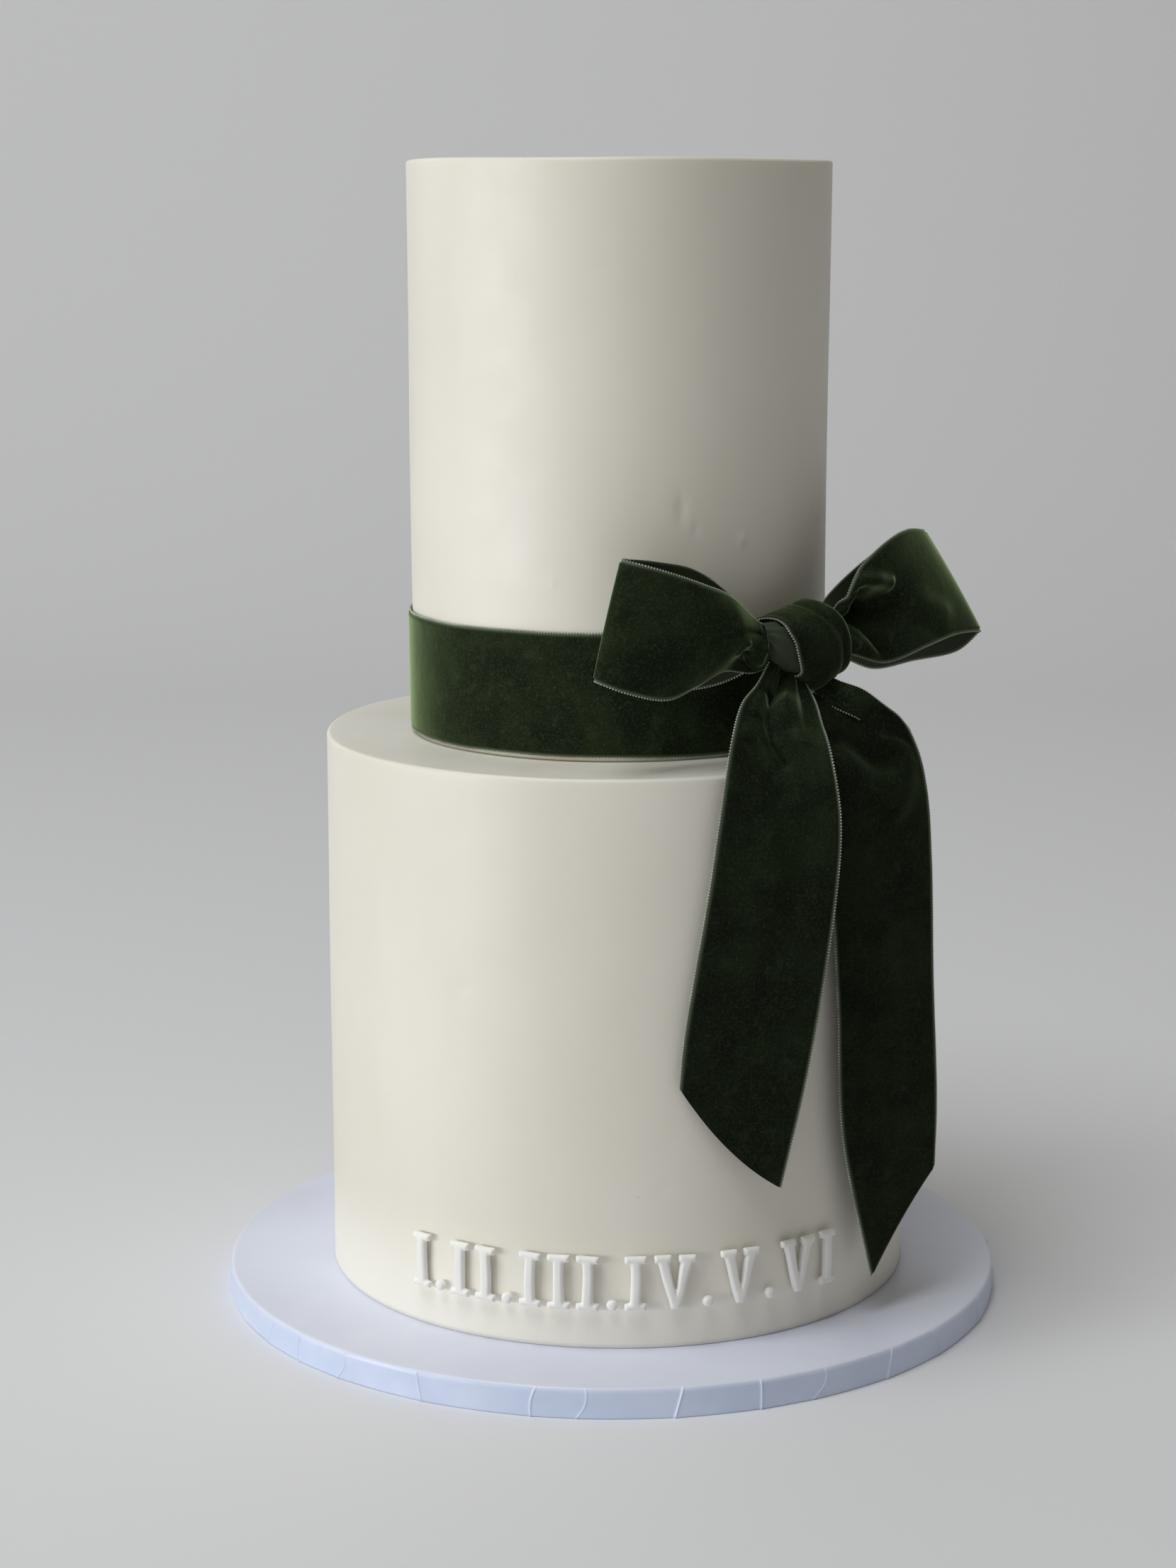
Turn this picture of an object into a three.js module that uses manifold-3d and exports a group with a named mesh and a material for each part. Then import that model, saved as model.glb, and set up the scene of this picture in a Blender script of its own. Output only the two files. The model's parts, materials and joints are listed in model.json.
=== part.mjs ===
// A two-tier wedding cake on its white drum board, with a velvet ribbon round the upper tier tied in
// a bow, and a row of raised numerals round the lower tier.
// Millimetres, +Z up. The board stands on z = 0 with its centre at the origin; the front is -Y.
import * as THREE from "three";
import Module from "manifold-3d";

const wasm = await Module();
wasm.setup();

const root = new THREE.Group();
const gap = 0.3;

// Board and tiers
const boardRadius = 127;
const boardThick = 9.5;
const cakeX = 2.1;
const cakeY = -0.5;
const lowerRadius = 94.3;
const lowerHeight = 176.2;
const upperFootRadius = 65.8;
const upperTopRadius = 66.5;
const upperHeight = 179.5;
const upperLean = -0.4;
const rimRadius = 1.2;
const unevenness = 0.25;
const ledge = boardThick + lowerHeight;

// Ribbon
const ribbonWidth = 38.1;
const clothThick = 1.3;
const bandFoot = ledge + 1.3;
const knotTurn = 42;
const knotOut = 79;
const knotUp = ledge + 34.8;

// Numerals
const numeralHeight = 17.2;
const numeralFoot = 22.5;
const numeralRelief = 2.5;
const numeralGap = 2;
const numeralShift = 1.9;

function manifoldOf(positions, triangles) {
  const mesh = new wasm.Mesh({
    numProp: 3,
    vertProperties: new Float32Array(positions.flat()),
    triVerts: new Uint32Array(triangles.flat()),
  });
  return new wasm.Manifold(mesh);
}

function geometryOf(solid) {
  const mesh = solid.getMesh();
  const geometry = new THREE.BufferGeometry();
  geometry.setAttribute("position", new THREE.BufferAttribute(new Float32Array(mesh.vertProperties), 3));
  geometry.setIndex(new THREE.BufferAttribute(new Uint32Array(mesh.triVerts), 1));
  geometry.computeVertexNormals();
  return geometry;
}

function add(name, solid, color, roughness) {
  const material = new THREE.MeshStandardMaterial({ color, roughness, metalness: 0 });
  const mesh = new THREE.Mesh(geometryOf(solid), material);
  mesh.name = name;
  root.add(mesh);
}

// The biggest body of a solid, without the slivers a cut leaves beside it
function biggest(solid) {
  const bodies = solid.decompose();
  bodies.sort((a, b) => b.volume() - a.volume());
  return bodies[0];
}

// A solid through closed rings that all hold the same number of points, with both ends capped
function lofted(rings) {
  const count = rings[0].length;
  const middle = (ring) => [0, 1, 2].map((k) => ring.reduce((sum, p) => sum + p[k], 0) / count);
  const positions = rings.flat();
  const first = positions.push(middle(rings[0])) - 1;
  const last = positions.push(middle(rings[rings.length - 1])) - 1;
  const triangles = [];
  for (let i = 0; i < rings.length - 1; i++) {
    for (let j = 0; j < count; j++) {
      const a = i * count + j;
      const b = i * count + ((j + 1) % count);
      triangles.push([a, b, b + count], [a, b + count, a + count]);
    }
  }
  for (let j = 0; j < count; j++) {
    const next = (j + 1) % count;
    const top = (rings.length - 1) * count;
    triangles.push([first, next, j], [last, top + j, top + next]);
  }
  const solid = manifoldOf(positions, triangles);
  return solid.volume() < 0 ? manifoldOf(positions, triangles.map((t) => [t[0], t[2], t[1]])) : solid;
}

// How far the hand-smoothed icing stands out from the true cylinder, and how far its top rises
function uneven(angle, height, seed) {
  const slow = Math.sin(2 * angle + seed) + 0.6 * Math.sin(3 * angle - 2 * seed + height / 60);
  return unevenness * (slow / 1.6) + 0.12 * Math.sin(5 * angle + height / 23 + seed);
}

// A tier: straight wall, crisp rim of small radius and a nearly level top
function tier(footZ, topZ, footRadius, topRadius, lean, seed) {
  const count = 72;
  const height = topZ - footZ;
  const levels = [0, 0.12, 0.3, 0.5, 0.7, 0.88].map((share) => [share * height, 0]);
  for (const step of [0, 30, 60, 90]) {
    const turn = THREE.MathUtils.degToRad(step);
    levels.push([height - rimRadius * (1 - Math.sin(turn)), rimRadius * (1 - Math.cos(turn))]);
  }
  const rings = levels.map(([rise, inset]) => {
    const share = rise / height;
    const radius = THREE.MathUtils.lerp(footRadius, topRadius, share) - inset;
    return Array.from({ length: count }, (_, j) => {
      const angle = (j / count) * 2 * Math.PI;
      const r = radius + uneven(angle, rise, seed);
      const lift = share > 0.95 ? uneven(angle + 1, 0, seed + 2) : 0;
      return [
        cakeX + lean * share + r * Math.cos(angle),
        cakeY + r * Math.sin(angle),
        footZ + rise + lift,
      ];
    });
  });
  return lofted(rings);
}

// The drum board: a flat disc whose covered top rim is rounded over
function drum() {
  const profile = [
    [0, 0],
    [boardRadius - 0.5, 0],
    [boardRadius, 0.5],
    [boardRadius, boardThick - 2],
    [boardRadius - 0.6, boardThick - 0.6],
    [boardRadius - 2, boardThick],
    [0, boardThick],
  ];
  const count = 96;
  const rings = profile.slice(1, -1).map(([r, z]) =>
    Array.from({ length: count }, (_, j) => {
      const angle = (j / count) * 2 * Math.PI;
      return [r * Math.cos(angle), r * Math.sin(angle), z];
    }),
  );
  return lofted(rings);
}

// The ribbon band follows the foot of the upper tier all the way round
function band(inset) {
  const count = 72;
  const levels = [0, 0.5, 1];
  const wall = (stand) =>
    levels.map((share) => {
      const rise = bandFoot - ledge + share * (ribbonWidth - 0.3);
      const tierShare = rise / upperHeight;
      const radius = THREE.MathUtils.lerp(upperFootRadius, upperTopRadius, tierShare) + stand;
      return Array.from({ length: count }, (_, j) => {
        const angle = (j / count) * 2 * Math.PI;
        const r = radius + uneven(angle, rise, 1);
        return [cakeX + upperLean * tierShare + r * Math.cos(angle), cakeY + r * Math.sin(angle), ledge + rise];
      });
    });
  const outer = wall(gap + clothThick + inset);
  const inner = wall(gap).reverse();
  const rings = [...outer, ...inner];
  const triangles = [];
  rings.forEach((ring, i) => {
    const nextRing = (i + 1) % rings.length;
    for (let j = 0; j < count; j++) {
      const a = i * count + j;
      const b = i * count + ((j + 1) % count);
      const c = nextRing * count + ((j + 1) % count);
      const d = nextRing * count + j;
      triangles.push([a, b, c], [a, c, d]);
    }
  });
  return manifoldOf(rings.flat(), triangles);
}

// A frame of the bow: a direction along the cloth, one outward from the cake, and up
function frameAt(turn, side) {
  const angle = THREE.MathUtils.degToRad(turn);
  const out = new THREE.Vector3(Math.sin(angle), -Math.cos(angle), 0);
  const along = new THREE.Vector3(Math.cos(angle), Math.sin(angle), 0).multiplyScalar(side);
  return { out, along, side };
}

const knotFrame = frameAt(knotTurn, 1);
const knotCentre = knotFrame.out.clone().multiplyScalar(knotOut);

// A point given as [along from the knot, out from the cake's axis, up from the knot]
function place(frame, [along, out, up]) {
  const start = knotCentre.dot(frame.along);
  return new THREE.Vector3(cakeX, cakeY, knotUp + up)
    .addScaledVector(frame.along, along + start)
    .addScaledVector(frame.out, out);
}

// The cloth of a ribbon: each station holds its two selvedges; between them the cloth is crowned
// outward and, where it is gathered, thrown into pleats as deep as the lost width asks for
function clothOf({ frame, stations, pleats }) {
  const edge = (side) => new THREE.CatmullRomCurve3(stations.map((s) => place(frame, s[side])), false, "centripetal");
  const first = edge(0);
  const second = edge(1);
  const crowns = stations.map((s) => s[2]);
  const crownAt = (s) => {
    const at = s * (crowns.length - 1);
    const i = Math.min(Math.floor(at), crowns.length - 2);
    const f = at - i;
    return THREE.MathUtils.lerp(crowns[i], crowns[i + 1], f * f * (3 - 2 * f));
  };
  return (s, t) => {
    const a = first.getPoint(s);
    const b = second.getPoint(s);
    const middle = (v) => first.getPoint(v).lerp(second.getPoint(v), 0.5);
    const run = middle(Math.min(s + 0.004, 1)).sub(middle(Math.max(s - 0.004, 0)));
    const across = b.clone().sub(a);
    const normal = run.cross(across).multiplyScalar(-frame.side).normalize();
    let lift = crownAt(s) * 4 * t * (1 - t);
    for (const [atS, atT, wideS, wideT, depth] of pleats) {
      lift += depth * Math.exp(-(((s - atS) / wideS) ** 2) - ((t - atT) / wideT) ** 2);
    }
    return { point: a.lerp(b, t).addScaledVector(normal, lift), across };
  };
}

// A closed sheet of cloth of even thickness over a grid of its surface
function sheetOf(ribbon, rows, columns, thick, spread) {
  const cloth = clothOf(ribbon);
  const at = (i, j) => {
    const over = spread / ribbonWidth;
    return cloth(i / rows, -over + (j / columns) * (1 + 2 * over)).point;
  };
  const grid = [];
  for (let i = 0; i <= rows; i++) {
    for (let j = 0; j <= columns; j++) grid.push(at(i, j));
  }
  const cell = (i, j) => grid[i * (columns + 1) + j];
  const faces = [[], []];
  for (let i = 0; i <= rows; i++) {
    for (let j = 0; j <= columns; j++) {
      const run = cell(Math.min(i + 1, rows), j).clone().sub(cell(Math.max(i - 1, 0), j));
      const across = cell(i, Math.min(j + 1, columns)).clone().sub(cell(i, Math.max(j - 1, 0)));
      const normal = run.cross(across).multiplyScalar(-ribbon.frame.side).normalize();
      faces[0].push(cell(i, j).clone().addScaledVector(normal, thick / 2).toArray());
      faces[1].push(cell(i, j).clone().addScaledVector(normal, -thick / 2).toArray());
    }
  }
  const half = faces[0].length;
  const triangles = [];
  const quad = (a, b, c, d) => triangles.push([a, b, c], [a, c, d]);
  const id = (i, j) => i * (columns + 1) + j;
  for (let i = 0; i < rows; i++) {
    for (let j = 0; j < columns; j++) {
      quad(id(i, j), id(i + 1, j), id(i + 1, j + 1), id(i, j + 1));
      quad(half + id(i, j), half + id(i, j + 1), half + id(i + 1, j + 1), half + id(i + 1, j));
    }
    quad(id(i, 0), half + id(i, 0), half + id(i + 1, 0), id(i + 1, 0));
    quad(id(i, columns), id(i + 1, columns), half + id(i + 1, columns), half + id(i, columns));
  }
  for (let j = 0; j < columns; j++) {
    quad(id(0, j), id(0, j + 1), half + id(0, j + 1), half + id(0, j));
    quad(id(rows, j), half + id(rows, j), half + id(rows, j + 1), id(rows, j + 1));
  }
  const positions = [...faces[0], ...faces[1]];
  const solid = manifoldOf(positions, triangles);
  return solid.volume() < 0 ? manifoldOf(positions, triangles.map((t) => [t[0], t[2], t[1]])) : solid;
}

// Each station: [along, out, up] of the upper or left selvedge, the same for the other, the crown
const loopLeft = {
  frame: frameAt(29, -1),
  stations: [
    [[11, 80, 6], [11, 80, -5], 1],
    [[15.5, 80, 8.7], [16.5, 79, -7], 4],
    [[26, 82, 17], [26, 78, -6], 7],
    [[37.5, 86, 21.5], [37.4, 80, -9.8], 4],
    [[49, 87, 25.6], [49, 83, -12.3], 1],
    [[58.2, 85, 28.5], [62.3, 81, -9.1], 0.5],
    [[62.3, 81, 29.8], [69, 76, -6], 0.3],
    [[58, 75.5, 29.2], [62, 72.5, -8.5], 0.3],
    [[45.5, 72.5, 27.4], [47.6, 71, -10.6], 0.5],
    [[31, 70, 23.8], [29, 70, -11.9], 0.5],
    [[20.4, 71, 16.5], [18, 71, -9.5], 1],
    [[11, 74, 6], [11, 74, -5], 1],
  ],
  pleats: [[0.14, 0.78, 0.05, 0.16, -3.5]],
};

const loopRight = {
  frame: frameAt(42, 1),
  stations: [
    [[10, 84, 9], [11, 84, -3.5], 1],
    [[17, 85, 19], [18.8, 84, -4], 1],
    [[25, 86, 26], [30, 88, -7.3], 1],
    [[34, 86, 30.6], [48, 90, -3.5], 1],
    [[45, 83, 32.2], [62.2, 89, -1.3], 1],
    [[56, 79, 31], [76, 86.5, -2], 0.5],
    [[60.7, 75, 30], [80, 82.5, -3.4], 0.3],
    [[57, 71.5, 28.6], [76, 78, -9], 0.3],
    [[46, 70.5, 25], [60, 72.5, -11.5], 0.5],
    [[33, 70, 18.4], [44, 71, -12.5], 0.5],
    [[21, 72, 12.5], [30, 72, -8], 1],
    [[11, 76, 7.5], [14, 76, -4], 1],
  ],
  pleats: [
    [0.12, 0.46, 0.09, 0.13, -8],
    [0.14, 0.17, 0.09, 0.12, 2.5],
  ],
};

const tailFront = {
  frame: frameAt(9, 1),
  stations: [
    [[-8, 72, -1], [1, 69, -8.5], 1],
    [[-14.4, 79, -9.4], [3.3, 79, -15.1], 3],
    [[-20.5, 86, -14.2], [3.4, 88, -20.4], 3],
    [[-24.8, 93, -23.2], [4, 97, -27.5], 2],
    [[-29.2, 98, -45.5], [6.7, 99.5, -46.2], 1],
    [[-32.2, 98, -67], [6.4, 98.5, -67], 0.5],
    [[-39.6, 97.5, -114], [-0.9, 97.5, -121], 0.3],
    [[-40.8, 97.2, -128.4], [-9.4, 97.2, -161], 0],
  ],
  pleats: [[0.24, 0.5, 0.13, 0.16, -5]],
};

const tailRear = {
  frame: frameAt(34.5, 1),
  stations: [
    [[3.5, 79, -4], [1.5, 77, -8], 0.5],
    [[9, 86, -10], [5, 86, -16.5], 0.5],
    [[16.2, 91, -13.4], [12.5, 93, -21.5], 0.6],
    [[21.5, 95.5, -18.2], [17, 97.2, -25], 0.3],
    [[25.5, 98, -22], [10, 87, -20], 0.3],
    [[30, 99.5, -29.5], [-2, 93.5, -26], 1],
    [[34.5, 100.3, -45], [-3.5, 97.5, -43], 1.5],
    [[37, 100.2, -66], [-0.6, 98, -72], 0.8],
    [[39, 100, -104], [2, 98.8, -108], 0.4],
    [[41.5, 100, -145], [4.5, 99, -150], 0.3],
    [[41.2, 100, -166], [17, 99, -198], 0],
  ],
  pleats: [],
};

// The knot: the ribbon drawn tight over the middle. Each row: place along, top, bottom, depth
const knotRows = [
  [-15, 8, 1, 5],
  [-13, 9.2, -2.8, 7.5],
  [-8, 10.3, -7, 9.2],
  [-2, 11.3, -10.8, 10.3],
  [3, 12.2, -13.4, 10.6],
  [8.5, 12.7, -12, 10.4],
  [11.5, 10.8, -9.8, 9.6],
  [13.8, 6.5, -7.8, 8.2],
  [14.8, 1.5, -6.4, 6.5],
];

function knot(grow) {
  const count = 24;
  const rings = knotRows.map(([along, top, bottom, deep], i) => {
    const end = i === 0 ? -grow : i === knotRows.length - 1 ? grow : 0;
    const tall = (top - bottom) / 2 + grow;
    return Array.from({ length: count }, (_, j) => {
      const angle = (j / count) * 2 * Math.PI;
      const round = (v) => Math.sign(v) * Math.abs(v) ** 0.8;
      const out = knotOut + (deep + grow) * round(Math.cos(angle));
      const up = (top + bottom) / 2 + tall * round(Math.sin(angle));
      return place(knotFrame, [along + end, out, up]).toArray();
    });
  });
  return lofted(rings);
}

const board = drum();
const lower = tier(boardThick + gap, ledge, lowerRadius, lowerRadius, 0, 0);
const upper = tier(ledge + gap, ledge + upperHeight, upperFootRadius, upperTopRadius, upperLean, 1);
add("board", board, 0xd5d9e0, 0.4);
add("lower_tier", lower, 0xe6e2d5, 0.6);
add("upper_tier", upper, 0xe6e2d5, 0.6);
add("ribbon_band", band(0), 0x20301f, 0.95);
add("bow_knot", knot(0).subtract(band(gap)), 0x20301f, 0.95);

// Loops and tails are cut back where they meet the knot, the band or a piece laid over them
const knotRoom = knot(gap);
const bandRoom = band(gap);
const laid = [];
const order = [
  ["bow_loop_left", loopLeft, 56, 8],
  ["bow_loop_right", loopRight, 56, 8],
  ["bow_tail_front", tailFront, 36, 8],
  ["bow_tail_rear", tailRear, 36, 8],
];
for (const [name, ribbon, rows, columns] of order) {
  let cloth = sheetOf(ribbon, rows, columns, clothThick, 0).subtract(knotRoom).subtract(bandRoom);
  for (const room of laid) cloth = cloth.subtract(room);
  laid.push(sheetOf(ribbon, rows, columns, clothThick + 2 * gap, gap));
  add(name, biggest(cloth), 0x20301f, 0.95);
}

// Numerals: plain Roman one to six with a dot between each, slab-seriffed, bent round the lower
// tier's wall and centred on the front
const stroke = 3.3;
const serif = 2.2;
const iWidth = 6.8;
const vWidth = 12.8;
const dotWidth = 3.5;
const text = "I.II.III.IV.V.VI";

function outline(points) {
  return new THREE.Shape(points.map(([x, y]) => new THREE.Vector2(x, y)));
}

function letterI() {
  const h = numeralHeight;
  const left = (iWidth - stroke) / 2;
  const right = (iWidth + stroke) / 2;
  return outline([
    [0, 0], [iWidth, 0], [iWidth, serif], [right, serif], [right, h - serif], [iWidth, h - serif],
    [iWidth, h], [0, h], [0, h - serif], [left, h - serif], [left, serif], [0, serif],
  ]);
}

function letterV() {
  const h = numeralHeight;
  const w = vWidth;
  const middle = w / 2;
  const bar = 5.4;
  const edge = 1;
  const shoulder = h - serif;
  return outline([
    [middle - 1.3, 0], [middle + 1.3, 0], [w - edge, shoulder], [w, shoulder], [w, h], [w - bar, h],
    [w - bar, shoulder], [w - bar + 0.7, shoulder], [middle, 4.6], [bar - 0.7, shoulder],
    [bar, shoulder], [bar, h], [0, h], [0, shoulder], [edge, shoulder],
  ]);
}

function dot() {
  const half = dotWidth / 2;
  const points = Array.from({ length: 12 }, (_, i) => {
    const angle = (i / 12) * 2 * Math.PI;
    return [half + half * Math.cos(angle), half + half * Math.sin(angle)];
  });
  return outline(points);
}

const glyphs = { I: [letterI, iWidth], V: [letterV, vWidth], ".": [dot, dotWidth] };

function bent(shape, start) {
  const bevel = 0.7;
  const flat = new THREE.ExtrudeGeometry(shape, {
    depth: numeralRelief - 2 * bevel,
    bevelThickness: bevel,
    bevelSize: bevel,
    bevelOffset: -bevel,
    bevelSegments: 1,
  });
  const at = flat.getAttribute("position");
  const seen = new Map();
  const positions = [];
  const index = [];
  for (let i = 0; i < at.count; i++) {
    const key = [at.getX(i), at.getY(i), at.getZ(i)].map((v) => v.toFixed(3)).join();
    if (!seen.has(key)) {
      const angle = (start + at.getX(i)) / lowerRadius;
      const r = lowerRadius + unevenness + 2 * gap + bevel + at.getZ(i);
      seen.set(key, positions.length);
      positions.push([cakeX + r * Math.sin(angle), cakeY - r * Math.cos(angle), numeralFoot + at.getY(i)]);
    }
    index.push(seen.get(key));
  }
  const triangles = [];
  for (let i = 0; i < index.length; i += 3) triangles.push(index.slice(i, i + 3));
  return manifoldOf(positions, triangles.filter(([a, b, c]) => a !== b && b !== c && a !== c));
}

const widths = [...text].map((letter) => glyphs[letter][1]);
const whole = widths.reduce((sum, w) => sum + w, 0) + numeralGap * (text.length - 1);
let start = numeralShift - whole / 2;
[...text].forEach((letter, i) => {
  const name = "numeral_" + String(i + 1).padStart(2, "0");
  add(name, bent(glyphs[letter][0](), start), 0xeeece4, 0.55);
  start += widths[i] + numeralGap;
});

export default root;
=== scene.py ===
"""A two-tier wedding cake on its white drum board, with a green velvet ribbon and bow round the upper
tier and a row of raised numerals round the lower one. Metres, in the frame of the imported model."""

import json
import math

import bmesh
import bpy
import numpy as np
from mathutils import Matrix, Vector

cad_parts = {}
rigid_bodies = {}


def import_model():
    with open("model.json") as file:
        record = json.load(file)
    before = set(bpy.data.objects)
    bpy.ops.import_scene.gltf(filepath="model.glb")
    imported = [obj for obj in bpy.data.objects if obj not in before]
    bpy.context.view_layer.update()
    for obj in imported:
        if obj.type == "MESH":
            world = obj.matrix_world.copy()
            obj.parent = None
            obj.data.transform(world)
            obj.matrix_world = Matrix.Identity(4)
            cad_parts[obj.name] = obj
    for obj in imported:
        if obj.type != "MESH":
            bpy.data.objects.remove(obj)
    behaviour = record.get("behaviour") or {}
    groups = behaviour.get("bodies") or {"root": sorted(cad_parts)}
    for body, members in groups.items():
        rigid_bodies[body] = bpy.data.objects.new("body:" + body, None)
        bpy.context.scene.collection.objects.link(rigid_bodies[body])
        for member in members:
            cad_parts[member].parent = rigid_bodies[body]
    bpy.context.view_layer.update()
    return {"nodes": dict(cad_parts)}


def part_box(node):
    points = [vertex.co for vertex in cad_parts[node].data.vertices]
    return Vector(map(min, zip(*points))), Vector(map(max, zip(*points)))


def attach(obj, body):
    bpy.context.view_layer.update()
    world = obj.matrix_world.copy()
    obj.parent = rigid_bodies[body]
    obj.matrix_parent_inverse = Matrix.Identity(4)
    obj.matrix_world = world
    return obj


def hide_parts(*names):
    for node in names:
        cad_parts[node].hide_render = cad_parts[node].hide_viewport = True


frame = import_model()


# Camera: stands a little left of the cake and looks slightly down on it, as the photograph does. Its
# lens comes from the focal length and the height of the photograph, both in pixels.
MM = 0.001
sensor_long_side = 36.0
focal_pixels = 4246.0
photo_height_pixels = 2212.0
camera_tilt = 10.885
camera_data = bpy.data.cameras.new("camera")
camera_data.sensor_width = sensor_long_side
camera_data.lens = sensor_long_side * focal_pixels / photo_height_pixels
camera = bpy.data.objects.new("camera", camera_data)
camera.location = (-7.84 * MM, -961.8 * MM, 351.3 * MM)
camera.rotation_euler = (math.radians(90.0 - camera_tilt), 0.0, 0.0)
bpy.context.collection.objects.link(camera)
bpy.context.scene.camera = camera


# Drum board: a stiff disc covered in white paper. The paper is glued over the top and down the side,
# where its spare length is lapped into small pressed folds; the top rim is rounded by the paper.
board_low, board_high = (np.array(corner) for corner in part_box("board"))
board_radius = (board_high[0] - board_low[0]) / 2
board_top = board_high[2]
rim_round = 1.6 * MM
lap_height = 0.27
lap_length = 6.0
ridge_height = 0.3
ridge_width = 0.3
paper_sag = 0.1
paper_inset = 0.42
fold_turns = [-68.6, -56.6, -49.6, -40.3, -27.9, -10.6, -3.9, 9.2, 20.1, 30.0, 42.1, 50.7]
fold_leans = [0.3, -5.0, -1.4, -3.6, 1.8, -1.6, -2.9, -2.5, 0.2, -4.7, -2.1, 5.0]
fold_weights = [0.4, 0.5, 0.8, 0.5, 1.0, 1.0, 0.4, 1.0, 0.9, 0.4, 0.9, 0.6]


def grid_quads(rows, columns, close_columns=False):
    """Four-cornered faces of a grid of points stored row by row; a closed grid joins its last column
    to its first."""
    right = np.arange(columns if close_columns else columns - 1)
    r, c = np.meshgrid(np.arange(rows - 1), right, indexing="ij")
    n = (c + 1) % columns
    quads = [r * columns + c, r * columns + n, (r + 1) * columns + n, (r + 1) * columns + c]
    return np.stack(quads, -1).reshape(-1, 4)


def make_piece(name, points, faces, attributes=None):
    """A smooth-shaded mesh object of the given points and faces, with one number for each point in
    each named attribute; its faces are turned outward."""
    mesh = bpy.data.meshes.new(name)
    lists = [f.tolist() if isinstance(f, np.ndarray) else list(f) for f in faces]
    corners = np.asarray(points, float).reshape(-1, 3).tolist()
    mesh.from_pydata(corners, [], [face for part in lists for face in part])
    for key, values in (attributes or {}).items():
        layer = mesh.attributes.new(key, "FLOAT", "POINT")
        layer.data.foreach_set("value", np.asarray(values, np.float32).ravel())
    work = bmesh.new()
    work.from_mesh(mesh)
    bmesh.ops.recalc_face_normals(work, faces=work.faces)
    work.to_mesh(mesh)
    work.free()
    mesh.shade_smooth()
    piece = bpy.data.objects.new(name, mesh)
    bpy.context.collection.objects.link(piece)
    return piece


def turned_faces(rows, columns):
    """Faces of a turned shape whose first and last points are its poles on the axis: a fan at each
    end and a closed grid between."""
    body = grid_quads(rows, columns, close_columns=True) + 1
    j = np.arange(columns)
    last = 1 + rows * columns
    first_fan = np.stack([np.zeros(columns, int), 1 + (j + 1) % columns, 1 + j], -1)
    top = 1 + (rows - 1) * columns
    last_fan = np.stack([np.full(columns, last), top + j, top + (j + 1) % columns], -1)
    return [body, first_fan, last_fan]


def board_points():
    """The profile carried round the axis. Between two folds the columns keep their share of the way,
    so they lean with the folds. At d millimetres past a fold the paper stands out by its lap height
    times exp(-d / lap length), and the fold is a ridge of its height times exp(-(d / width) squared)."""
    rng = np.random.default_rng(7)
    behind = np.arange(66.0, 284.0, 12.5)
    turns = np.array(fold_turns + list(behind + rng.uniform(-3, 3, len(behind))))
    leans = np.array(fold_leans + list(rng.uniform(-4, 4, len(behind))))
    weights = np.array(fold_weights + list(rng.uniform(0.4, 1, len(behind))))
    foot = [(board_radius * f, 0.0) for f in (0.3, 0.6, 0.85, 0.97)]
    side = [(board_radius - 0.25 * MM, 0.0), (board_radius, 0.3 * MM)]
    side += [(board_radius, z) for z in np.linspace(0.9 * MM, board_top - rim_round, 9)]
    rim = [
        (board_radius - rim_round * (1 - math.cos(a)), board_top - rim_round * (1 - math.sin(a)))
        for a in np.linspace(0, np.pi / 2, 8)[1:]
    ]
    top = [(board_radius * f, board_top) for f in (0.98, 0.965, 0.94, 0.85, 0.7, 0.5, 0.25)]
    profile = np.array(foot + side + rim + top)
    radius, height = profile[:, :1], profile[:, 1:]
    depth = np.clip((board_top - height) / board_top, 0, 1)
    depth = np.where(radius < 0.98 * board_radius, np.round(depth), depth)
    on_side = np.clip((radius - 0.975 * board_radius) / (0.015 * board_radius), 0, 1)
    on_side = on_side * np.clip((board_top - height) / (0.7 * MM), 0, 1)
    angles, lifts = [], []
    to_turn = np.degrees(MM / board_radius)
    for k in range(len(turns)):
        n = (k + 1) % len(turns)
        width = ((turns[n] - turns[k]) % 360) / to_turn
        away = np.concatenate([
            [0, 0.12, 0.25, 0.4, 0.6, 0.9, 1.4, 2.2],
            np.linspace(3.2, width - 2.4, 15),
            width - np.array([1.6, 1.0, 0.6, 0.35, 0.18, 0.08]),
        ])
        share = away / width
        bend = [depth + 0.5 * np.sin(np.pi * depth) * ((fold % 3) - 1) for fold in (k, n)]
        lean = leans[k] * bend[0] * (1 - share) + leans[n] * bend[1] * share
        angles.append(turns[k] + (away + lean) * to_turn)
        lap = lap_height * weights[k] * np.exp(-away / lap_length)
        ridge = ridge_height * weights[k] * np.exp(-((away / ridge_width) ** 2))
        ridge = ridge + ridge_height * weights[n] * np.exp(-(((width - away) / ridge_width) ** 2))
        sag = paper_sag * np.sin(np.pi * share) * min(width / 20, 1)
        lifts.append((lap + ridge - sag) * on_side)
    angle = np.radians(np.concatenate(angles, axis=1) - 90)
    lift = np.concatenate(lifts, axis=1)
    r = radius + np.minimum(lift - paper_inset * on_side, 0) * MM
    rows = np.stack([r * np.cos(angle), r * np.sin(angle), height + 0 * angle], -1)
    points = np.concatenate([[[0, 0, 0]], rows.reshape(-1, 3), [[0, 0, board_top]]])
    return points, turned_faces(len(profile), rows.shape[1])


def new_material(name):
    """An empty node material with its Principled shader, output and Object coordinates."""
    material = bpy.data.materials.new(name)
    material.use_nodes = True
    tree = material.node_tree
    tree.nodes.clear()
    shader = tree.nodes.new("ShaderNodeBsdfPrincipled")
    output = tree.nodes.new("ShaderNodeOutputMaterial")
    tree.links.new(shader.outputs["BSDF"], output.inputs["Surface"])
    coords = tree.nodes.new("ShaderNodeTexCoord")
    return material, tree, shader, coords.outputs["Object"]


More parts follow.
